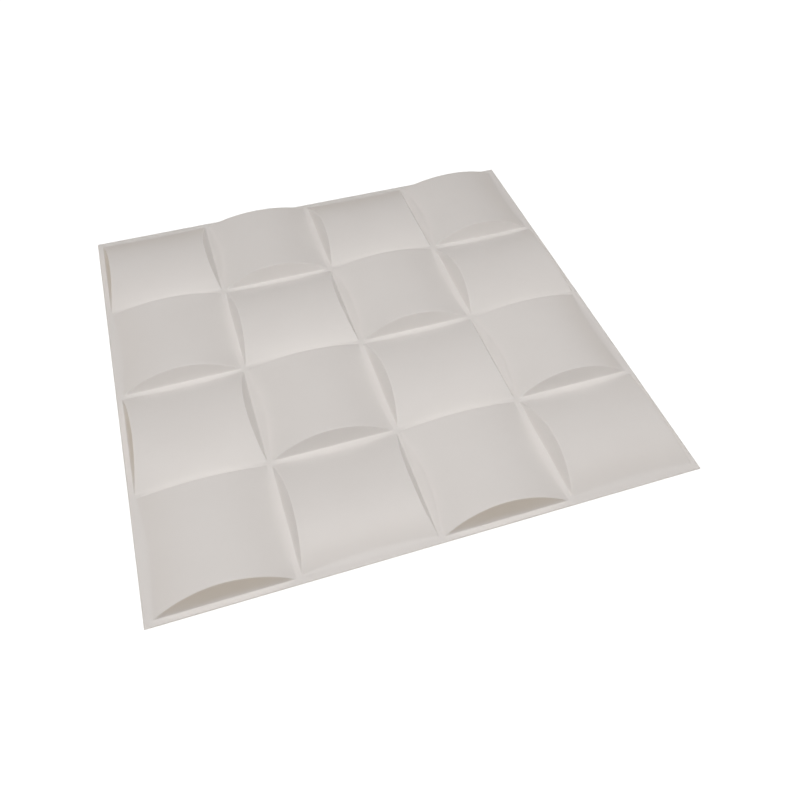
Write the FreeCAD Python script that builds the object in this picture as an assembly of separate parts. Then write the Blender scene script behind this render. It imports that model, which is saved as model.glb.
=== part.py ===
import FreeCAD, Part
import math
import os

from FreeCAD import Vector

# Driving dimensions, in millimetres and degrees
PANEL_SIDE = 500.0      # square outline of the tile
SHEET = 1.0             # thickness of the formed sheet
RIM_WIDTH = 4.0         # border outside the outermost valley lines
CELLS = 4               # vaults along each side
SIDE_GAP = 3.0          # from the valley line to where a vault's arch would meet the flat
END_GAP = 1.6           # from the valley line to the foot of a vault's end wall
VAULT_RISE = 15.0       # crown of a vault above the flat of the front face
END_LEAN = 25.0         # how far a vault's end walls lean back from upright
CREST_RADIUS = 1.0      # rounding of a vault's arched edges on the front face
FOOT_RADIUS = 12.0      # hollow curve in which a vault's long sides run out into the flat
FOOT_SINK = 0.05        # lowest line of that curve under the flat, so that the two meet at a small angle

# Sizes that follow from the driving dimensions
GRID_SIDE = PANEL_SIDE - 2 * RIM_WIDTH
PITCH = GRID_SIDE / CELLS
SPAN = PITCH - 2 * SIDE_GAP
LENGTH = PITCH - 2 * END_GAP
CROWN = SHEET + VAULT_RISE
ARCH_RADIUS = (SPAN ** 2 / 4 + VAULT_RISE ** 2) / (2 * VAULT_RISE)
ARCH_AXIS = CROWN - ARCH_RADIUS
LEAN = math.radians(END_LEAN)

# The back of the tile lies in the plane z = 0, centred on the origin, and the front faces +Z.
# A vault is drawn down to BASE, under that plane, and trimmed there.
BASE = -VAULT_RISE


def arch_profile(inset):
    """Section across a vault along Y: the arch and its two hollow feet, all moved in by inset."""
    foot_axis = SHEET - FOOT_SINK + FOOT_RADIUS
    foot_reach = math.sqrt((ARCH_RADIUS + FOOT_RADIUS) ** 2 - (foot_axis - ARCH_AXIS) ** 2)
    foot_turn = math.asin(foot_reach / (ARCH_RADIUS + FOOT_RADIUS))
    foot_radius = FOOT_RADIUS + inset
    crown = Vector(0, -PITCH, CROWN - inset)

    def base_corner(side):
        return Vector(side * foot_reach, -PITCH, BASE)

    def on_foot(side, turn):
        across = foot_reach - foot_radius * math.sin(turn)
        return Vector(side * across, -PITCH, foot_axis - foot_radius * math.cos(turn))

    left, right = -1, 1
    edges = [
        Part.LineSegment(base_corner(left), on_foot(left, 0)),
        Part.Arc(on_foot(left, 0), on_foot(left, foot_turn / 2), on_foot(left, foot_turn)),
        Part.Arc(on_foot(left, foot_turn), crown, on_foot(right, foot_turn)),
        Part.Arc(on_foot(right, foot_turn), on_foot(right, foot_turn / 2), on_foot(right, 0)),
        Part.LineSegment(on_foot(right, 0), base_corner(right)),
        Part.LineSegment(base_corner(right), base_corner(left)),
    ]
    return Part.Face(Part.Wire([edge.toShape() for edge in edges]))


def end_profile(inset):
    """Section along a vault: the slopes of its two end walls, moved in by inset."""
    def half_length(height):
        return LENGTH / 2 - (height - SHEET) * math.tan(LEAN) - inset / math.cos(LEAN)

    top = 2 * CROWN
    corners = [
        Vector(-PITCH, -half_length(BASE), BASE),
        Vector(-PITCH, half_length(BASE), BASE),
        Vector(-PITCH, half_length(top), top),
        Vector(-PITCH, -half_length(top), top),
    ]
    return Part.Face(Part.makePolygon(corners + corners[:1]))


def vault(inset):
    """Barrel vault along Y between leaning end walls, every face moved in by inset."""
    barrel = arch_profile(inset).extrude(Vector(0, 2 * PITCH, 0))
    ends = end_profile(inset).extrude(Vector(2 * PITCH, 0, 0))
    return barrel.common(ends)


def round_crests(body):
    """Round the arched edges between a vault and its end walls."""
    crests = [edge for edge in body.Edges if isinstance(edge.Curve, (Part.Circle, Part.Ellipse))]
    return body.makeFillet(CREST_RADIUS, crests)


def square_block(side, height):
    return Part.makeBox(side, side, height, Vector(-side / 2, -side / 2, 0))


def cell():
    """One square of the weave: a vault along Y in its share of the flat, hollow from behind."""
    front = square_block(PITCH, SHEET).fuse(round_crests(vault(0)))
    trimmed = front.common(square_block(PITCH, CROWN + SHEET))
    return trimmed.cut(vault(SHEET))


def rim():
    return square_block(PANEL_SIDE, SHEET).cut(square_block(GRID_SIDE, SHEET))


def wall_panel():
    """Basket weave: neighbouring cells are the same vault turned by a quarter."""
    square = cell()
    middle = (CELLS - 1) / 2
    pieces = []
    for row in range(CELLS):
        for column in range(CELLS):
            piece = square.copy()
            if (row + column) % 2:
                piece.rotate(Vector(0, 0, 0), Vector(0, 0, 1), 90)
            piece.translate(Vector((column - middle) * PITCH, (row - middle) * PITCH, 0))
            pieces.append(piece)
    return rim().multiFuse(pieces).removeSplitter()


def main():
    os.makedirs("parts", exist_ok=True)
    panel = wall_panel().Solids[0]
    panel.exportStep("parts/wall_panel.step")


main()
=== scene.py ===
import math

import bpy
import numpy as np
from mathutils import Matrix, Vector


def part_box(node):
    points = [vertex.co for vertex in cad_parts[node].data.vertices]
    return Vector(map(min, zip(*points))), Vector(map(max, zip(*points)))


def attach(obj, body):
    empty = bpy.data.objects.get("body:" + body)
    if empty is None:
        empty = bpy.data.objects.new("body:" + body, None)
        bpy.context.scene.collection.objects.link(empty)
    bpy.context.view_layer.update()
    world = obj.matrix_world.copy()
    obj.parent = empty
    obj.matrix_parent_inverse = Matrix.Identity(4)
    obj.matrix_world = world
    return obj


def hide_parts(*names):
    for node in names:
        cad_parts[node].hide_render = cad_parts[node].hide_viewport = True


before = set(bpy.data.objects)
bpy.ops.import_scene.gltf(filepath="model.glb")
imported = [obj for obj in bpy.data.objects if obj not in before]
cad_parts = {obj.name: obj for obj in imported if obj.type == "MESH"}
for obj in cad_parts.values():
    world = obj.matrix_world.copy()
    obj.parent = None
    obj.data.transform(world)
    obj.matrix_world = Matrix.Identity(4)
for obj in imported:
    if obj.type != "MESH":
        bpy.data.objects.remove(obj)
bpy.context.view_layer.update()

MM = 0.001
PANEL_LOW, PANEL_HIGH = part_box("wall_panel")

# The formed sheet, in millimetres and degrees
PANEL_SIDE = (PANEL_HIGH.x - PANEL_LOW.x) / MM
SHEET = 1.0                 # thickness
RIM_WIDTH = 4.0             # border outside the outermost valley lines
CELLS = 4                   # vaults along each side
SIDE_GAP = 3.0              # from the valley line to where a vault's arch would meet the flat
END_GAP = 1.6               # from the valley line to the foot of a vault's end wall
END_LEAN = 25.0             # how far a vault's end walls lean back from upright
CREST_RADIUS = 1.05         # rounding of a vault's arched edges; over SHEET, so the back is rounded too
WALL_FOOT_RADIUS = 1.2      # rounding in the corner between an end wall and the flat
FOOT_RADIUS_END = 2.5       # hollow foot of a vault's long side, at the ends of the vault
FOOT_RADIUS_MIDDLE = 20.0   # the same foot half way along, where it runs down to the valley line
EDGE_RADIUS = 0.4           # worn corner of the sheet's cut edge

GRID_SIDE = PANEL_SIDE - 2 * RIM_WIDTH
PITCH = GRID_SIDE / CELLS
HALF_PITCH = PITCH / 2
SPAN = PITCH - 2 * SIDE_GAP
RISE = PANEL_HIGH.z / MM - SHEET
ARCH_RADIUS_END = (SPAN ** 2 / 4 + RISE ** 2) / (2 * RISE)
FOOT_REACH_END = math.sqrt(RISE * (2 * ARCH_RADIUS_END + 2 * FOOT_RADIUS_END - RISE))
WALL_LINE = HALF_PITCH - END_GAP
WALL_SLOPE = math.radians(90 - END_LEAN)

# Grid lines of the mesh in half a cell, from the valley line to the middle
FOOT_STEPS = 3
WALL_STEPS = 4
CREST_STEPS = 6
TOP_STEPS = 10
BEND_STEPS = 1 + FOOT_STEPS + WALL_STEPS + CREST_STEPS
BEND_WIDTH = 10.0           # strip along a cell's edge that takes the first BEND_STEPS lines
LINE_BLEND = 2.5            # height of a vault over which the lines turn to follow its end wall
RIM_LINES = [1.2, 2.4]      # distances of the rim's inner grid lines from the outermost valley line

# Camera, in metres and pixels of the picture
PICTURE_SIDE = 800
FOCAL_PIXELS = 782.0
SENSOR_WIDTH = 36.0
CAMERA_PLACE = (-0.1388, -0.5578, 0.5863)
CAMERA_AIM = (0.0145, -0.0869, 0.0)

# Lamps, in metres
LARGE_SOFTBOX = 1.7
SOFTBOX = 0.8
BARE_BULB = 0.045
OVERHEAD_PLACE = (0.1, -0.56, 3.35)
NEAR_PLACE = (0.08, -0.25, 1.0)
LEFT_PLACE = (-1.5, 0.0, 2.6)
BULB_PLACE = (-1.3, 0.0, 0.975)
RIGHT_PLACE = (1.3, 0.0, 1.093)

# Floor, in metres
FLOOR_SIDE = 8.0
FLOOR_DROP = 0.0004         # how far it lies under the tile's back

# Colours, linear
SHEET_PALE = (0.915, 0.898, 0.880, 1)
SHEET_DARK = (0.900, 0.882, 0.863, 1)
WHITE = (1.0, 1.0, 1.0, 1)
FLOOR_GREY = (0.20, 0.20, 0.20, 1)
LAMP_COLOUR = (1.0, 0.970, 0.949)
HORIZON = (0.420, 0.372, 0.352, 1)
UNDER_HORIZON = (0.400, 0.291, 0.126, 1)
OVER_HORIZON = (0.0, 0.0, 0.0, 1)


def barrel_height(across, along):
    """Height of a vault's arch over the flat; the hollow foot of its long sides is widest half way along."""
    middleness = 1 - np.minimum(np.abs(along) / WALL_LINE, 1) ** 2
    foot_radius = FOOT_RADIUS_END + (FOOT_RADIUS_MIDDLE - FOOT_RADIUS_END) * middleness
    reach = FOOT_REACH_END + (HALF_PITCH - FOOT_REACH_END) * middleness
    both_radii = (reach ** 2 + RISE ** 2) / (2 * RISE)
    arch_radius = both_radii - foot_radius
    meeting = reach * arch_radius / both_radii
    side = np.abs(across)
    arch = np.sqrt(arch_radius ** 2 - side ** 2) - arch_radius + RISE
    to_flat = np.clip(reach - side, 0, foot_radius)
    foot = foot_radius - np.sqrt(foot_radius ** 2 - to_flat ** 2)
    return np.where(side < meeting, arch, foot)


def wall_section(top):
    """Section up an end wall to a height: where it starts, its slope, and the run of foot, wall and crest."""
    rounding = WALL_FOOT_RADIUS + CREST_RADIUS
    slope = np.arccos(np.maximum(1 - top / rounding, math.cos(WALL_SLOPE)))
    straight_rise = np.maximum(top - rounding * (1 - np.cos(slope)), 0)
    start = -WALL_FOOT_RADIUS * np.tan(slope / 2)
    foot_run = WALL_FOOT_RADIUS * np.sin(slope)
    wall_run = straight_rise / math.tan(WALL_SLOPE)
    crest_run = CREST_RADIUS * np.sin(slope)
    return start, slope, foot_run, wall_run, crest_run


def vault_height(across, along):
    """Height of a vault over the flat, with its end walls and their rounded crests."""
    top = barrel_height(across, along)
    start, slope, foot_run, wall_run, crest_run = wall_section(top)
    run = WALL_LINE - np.abs(along) - start
    on_foot = np.clip(run, 0, foot_run)
    on_wall = np.clip(run - foot_run, 0, wall_run)
    to_top = np.clip(foot_run + wall_run + crest_run - run, 0, crest_run)
    foot = WALL_FOOT_RADIUS - np.sqrt(WALL_FOOT_RADIUS ** 2 - on_foot ** 2)
    crest = np.sqrt(CREST_RADIUS ** 2 - to_top ** 2) - CREST_RADIUS * np.cos(slope)
    return foot + on_wall * math.tan(WALL_SLOPE) + crest


def mirrored(half):
    """Lines of a whole cell from those between its edge and its middle, which is the last one."""
    return np.concatenate([-half, half[-2::-1]])


def straight_lines():
    """Grid lines from a cell's edge to its middle, as they lie on the valley lines."""
    bend = np.linspace(HALF_PITCH, HALF_PITCH - BEND_WIDTH, BEND_STEPS + 1)
    top = np.linspace(HALF_PITCH - BEND_WIDTH, 0, TOP_STEPS + 1)
    return np.concatenate([bend, top[1:]])


def wall_lines(top):
    """Grid lines from a cell's edge to its middle, as they follow an end wall of some height."""
    start, slope, foot_run, wall_run, crest_run = wall_section(top)
    on_foot = WALL_FOOT_RADIUS * np.sin(np.linspace(0, slope, FOOT_STEPS + 1))
    on_wall = foot_run + np.linspace(0, wall_run, WALL_STEPS + 1)
    crest_end = foot_run + wall_run + crest_run
    on_crest = crest_end - CREST_RADIUS * np.sin(np.linspace(slope, 0, CREST_STEPS + 1))
    runs = np.concatenate([on_foot, on_wall[1:], on_crest[1:]])
    bend = WALL_LINE - start - runs
    top_lines = np.linspace(bend[-1], 0, TOP_STEPS + 1)
    return np.concatenate([[HALF_PITCH], bend, top_lines[1:]])


def cell_grid():
    """Across and along places of the grid of one vault, one row for each line along."""
    lines = straight_lines()
    columns = []
    for across in mirrored(lines):
        top = barrel_height(across, WALL_LINE)
        share = np.clip(top / LINE_BLEND, 0, 1)
        share = share * share * (3 - 2 * share)
        columns.append(mirrored(lines + share * (wall_lines(top) - lines)))
    along = np.array(columns).T
    across = np.broadcast_to(mirrored(lines), along.shape)
    return across, along


def cell_surface():
    """Places, heights and slopes of one vault's front surface on its grid."""
    across, along = cell_grid()
    height = vault_height(across, along)
    step = 1e-4
    slope_across = (vault_height(across + step, along) - vault_height(across - step, along)) / (2 * step)
    slope_along = (vault_height(across, along + step) - vault_height(across, along - step)) / (2 * step)
    return across, along, height, slope_across, slope_along


def sheet_grids():
    """Front and back of the whole sheet as two square grids of points, in millimetres."""
    across, along, height, slope_across, slope_along = cell_surface()
    vault_on_y = (across, along, height, slope_across, slope_along)
    vault_on_x = (along.T, across.T, height.T, slope_along.T, slope_across.T)
    steps = len(across) - 1
    side = CELLS * steps + 1
    middle = (CELLS - 1) / 2
    x, y, z, slope_x, slope_y = np.zeros((5, side, side))
    for row in range(CELLS):
        for column in range(CELLS):
            block = np.s_[row * steps:(row + 1) * steps + 1, column * steps:(column + 1) * steps + 1]
            vault = vault_on_x if (row + column) % 2 else vault_on_y
            cell_x, cell_y, z[block], slope_x[block], slope_y[block] = vault
            x[block] = cell_x + (column - middle) * PITCH
            y[block] = cell_y + (row - middle) * PITCH

    rim_lines = GRID_SIDE / 2 + np.array(RIM_LINES + [RIM_WIDTH - EDGE_RADIUS])
    margin = len(rim_lines)
    x, y, z, slope_x, slope_y = (np.pad(grid, margin, mode="edge") for grid in (x, y, z, slope_x, slope_y))
    x[:, :margin] = -rim_lines[::-1]
    x[:, -margin:] = rim_lines
    y[:margin, :] = -rim_lines[::-1, None]
    y[-margin:, :] = rim_lines[:, None]
    for values in (slope_x, slope_y):
        values[:margin, :] = values[-margin:, :] = 0
        values[:, :margin] = values[:, -margin:] = 0

    front = np.stack([x, y, z + SHEET], axis=-1)
    normal = np.stack([-slope_x, -slope_y, np.ones_like(z)], axis=-1)
    normal /= np.linalg.norm(normal, axis=-1, keepdims=True)
    return front, front - SHEET * normal


def perimeter(indices):
    """Indices round the edge of a square grid, counter-clockwise seen from above."""
    return np.concatenate([indices[0, :-1], indices[:-1, -1], indices[-1, :0:-1], indices[:0:-1, 0]])


def band(lower, upper):
    """Quads between two closed rings of indices."""
    return np.stack([lower, np.roll(lower, -1), np.roll(upper, -1), upper], axis=-1)


def sheet_mesh():
    """Closed mesh of the sheet: front, back and the cut edge with its worn corners."""
    front, back = sheet_grids()
    side = len(front)
    front_index = np.arange(side * side).reshape(side, side)
    back_index = front_index + side * side
    front_ring = perimeter(front_index)
    back_ring = perimeter(back_index)
    ring_size = len(front_ring)
    upper_ring = np.arange(ring_size) + 2 * side * side
    lower_ring = upper_ring + ring_size

    # The front stops EDGE_RADIUS short of the cut edge; the rings between front and back lie on it
    edge = front.reshape(-1, 3)[front_ring].copy()
    outer = PANEL_SIDE / 2
    on_edge = np.abs(edge) > outer - 1.5 * EDGE_RADIUS
    edge = np.where(on_edge, np.sign(edge) * outer, edge)
    upper = edge.copy()
    upper[:, 2] = SHEET - EDGE_RADIUS
    lower = edge.copy()
    lower[:, 2] = EDGE_RADIUS

    def quads(index):
        corners = [index[:-1, :-1], index[:-1, 1:], index[1:, 1:], index[1:, :-1]]
        return np.stack(corners, axis=-1).reshape(-1, 4)

    points = np.concatenate([front.reshape(-1, 3), back.reshape(-1, 3), upper, lower]) * MM
    faces = np.concatenate([
        quads(front_index),
        quads(back_index)[:, ::-1],
        band(upper_ring, front_ring),
        band(lower_ring, upper_ring),
        band(back_ring, lower_ring),
    ])
    mesh = bpy.data.meshes.new("formed_sheet")
    mesh.from_pydata(points.tolist(), [], faces.tolist())
    mesh.shade_smooth()
    return mesh


def sheet_material():
    """Matt off-white moulded plastic: faint cloudy tone, uneven gloss and a fine grain."""
    material = bpy.data.materials.new("off_white_plastic")
    material.use_nodes = True
    nodes = material.node_tree.nodes
    links = material.node_tree.links
    shader = nodes["Principled BSDF"]
    place = nodes.new("ShaderNodeTexCoord")

    def noise(scale, detail):
        node = nodes.new("ShaderNodeTexNoise")
        node.inputs["Scale"].default_value = scale
        node.inputs["Detail"].default_value = detail
        links.new(place.outputs["Object"], node.inputs["Vector"])
        return node.outputs["Fac"]

    tone = nodes.new("ShaderNodeValToRGB")
    tone.color_ramp.elements[0].position = 0.35
    tone.color_ramp.elements[0].color = SHEET_DARK
    tone.color_ramp.elements[1].position = 0.65
    tone.color_ramp.elements[1].color = SHEET_PALE
    links.new(noise(scale=14, detail=4), tone.inputs["Fac"])
    links.new(tone.outputs["Color"], shader.inputs["Base Color"])

    gloss = nodes.new("ShaderNodeMapRange")
    gloss.inputs["To Min"].default_value = 0.42
    gloss.inputs["To Max"].default_value = 0.52
    links.new(noise(scale=60, detail=3), gloss.inputs["Value"])
    links.new(gloss.outputs["Result"], shader.inputs["Roughness"])

    grain = nodes.new("ShaderNodeBump")
    grain.inputs["Strength"].default_value = 0.15
    grain.inputs["Distance"].default_value = 0.00005
    links.new(noise(scale=1800, detail=2), grain.inputs["Height"])
    links.new(grain.outputs["Normal"], shader.inputs["Normal"])
    shader.inputs["Specular IOR Level"].default_value = 0.45
    return material


def add_sheet():
    piece = bpy.data.objects.new("formed_sheet", sheet_mesh())
    bpy.context.collection.objects.link(piece)
    piece.data.materials.append(sheet_material())
    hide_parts("wall_panel")
    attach(piece, "root")


def add_floor():
    """White floor that only the camera sees: it neither lights the tile nor shades it from the room."""
    bpy.ops.mesh.primitive_plane_add(size=FLOOR_SIDE, location=(0, 0, -FLOOR_DROP))
    floor = bpy.context.object
    floor.name = "floor"
    material = bpy.data.materials.new("white_floor")
    material.use_nodes = True
    shader = material.node_tree.nodes["Principled BSDF"]
    shader.inputs["Base Color"].default_value = FLOOR_GREY
    shader.inputs["Roughness"].default_value = 0.9
    shader.inputs["Specular IOR Level"].default_value = 0.0
    shader.inputs["Emission Color"].default_value = WHITE
    shader.inputs["Emission Strength"].default_value = 1.0
    floor.data.materials.append(material)
    floor.visible_diffuse = False
    floor.visible_glossy = False
    floor.visible_shadow = False


def add_lamp(name, place, size, watts):
    lamp = bpy.data.lights.new(name, "AREA")
    lamp.shape = "DISK"
    lamp.size = size
    lamp.energy = watts
    lamp.color = LAMP_COLOUR
    holder = bpy.data.objects.new(name, lamp)
    holder.location = place
    holder.rotation_euler = Vector(place).to_track_quat("Z", "Y").to_euler()
    holder.visible_camera = False
    bpy.context.collection.objects.link(holder)


def add_surroundings():
    """Dim room, palest at the horizon, brown under it and dark overhead; the camera sees plain white."""
    world = bpy.data.worlds.new("room")
    world.use_nodes = True
    bpy.context.scene.world = world
    nodes = world.node_tree.nodes
    links = world.node_tree.links
    place = nodes.new("ShaderNodeTexCoord")
    axes = nodes.new("ShaderNodeSeparateXYZ")
    links.new(place.outputs["Generated"], axes.inputs["Vector"])
    height = nodes.new("ShaderNodeMapRange")
    height.inputs["From Min"].default_value = -1
    links.new(axes.outputs["Z"], height.inputs["Value"])
    # On the ramp 0 is straight down, 0.5 the horizon and 1 straight up
    room = nodes.new("ShaderNodeValToRGB")
    room.color_ramp.elements[0].position = 0.46
    room.color_ramp.elements[0].color = UNDER_HORIZON
    room.color_ramp.elements[1].position = 0.75
    room.color_ramp.elements[1].color = OVER_HORIZON
    room.color_ramp.elements.new(0.5).color = HORIZON
    links.new(height.outputs["Result"], room.inputs["Fac"])
    links.new(room.outputs["Color"], nodes["Background"].inputs["Color"])

    backdrop = nodes.new("ShaderNodeBackground")
    backdrop.inputs["Color"].default_value = WHITE
    ray = nodes.new("ShaderNodeLightPath")
    choice = nodes.new("ShaderNodeMixShader")
    links.new(ray.outputs["Is Camera Ray"], choice.inputs["Fac"])
    links.new(nodes["Background"].outputs["Background"], choice.inputs[1])
    links.new(backdrop.outputs["Background"], choice.inputs[2])
    links.new(choice.outputs["Shader"], nodes["World Output"].inputs["Surface"])


def add_camera():
    lens = bpy.data.cameras.new("camera")
    lens.sensor_width = SENSOR_WIDTH
    lens.lens = SENSOR_WIDTH * FOCAL_PIXELS / PICTURE_SIDE
    camera = bpy.data.objects.new("camera", lens)
    camera.location = CAMERA_PLACE
    aim = Vector(CAMERA_AIM) - Vector(CAMERA_PLACE)
    camera.rotation_euler = aim.to_track_quat("-Z", "Y").to_euler()
    bpy.context.collection.objects.link(camera)
    bpy.context.scene.camera = camera


add_sheet()
add_floor()
add_lamp("overhead", OVERHEAD_PLACE, LARGE_SOFTBOX, watts=38.6)
add_lamp("near", NEAR_PLACE, SOFTBOX, watts=1.9)
add_lamp("left", LEFT_PLACE, LARGE_SOFTBOX, watts=9.5)
add_lamp("bulb", BULB_PLACE, BARE_BULB, watts=2.5)
add_lamp("right", RIGHT_PLACE, SOFTBOX, watts=2.0)
add_surroundings()
add_camera()
bpy.context.scene.view_settings.view_transform = "Standard"
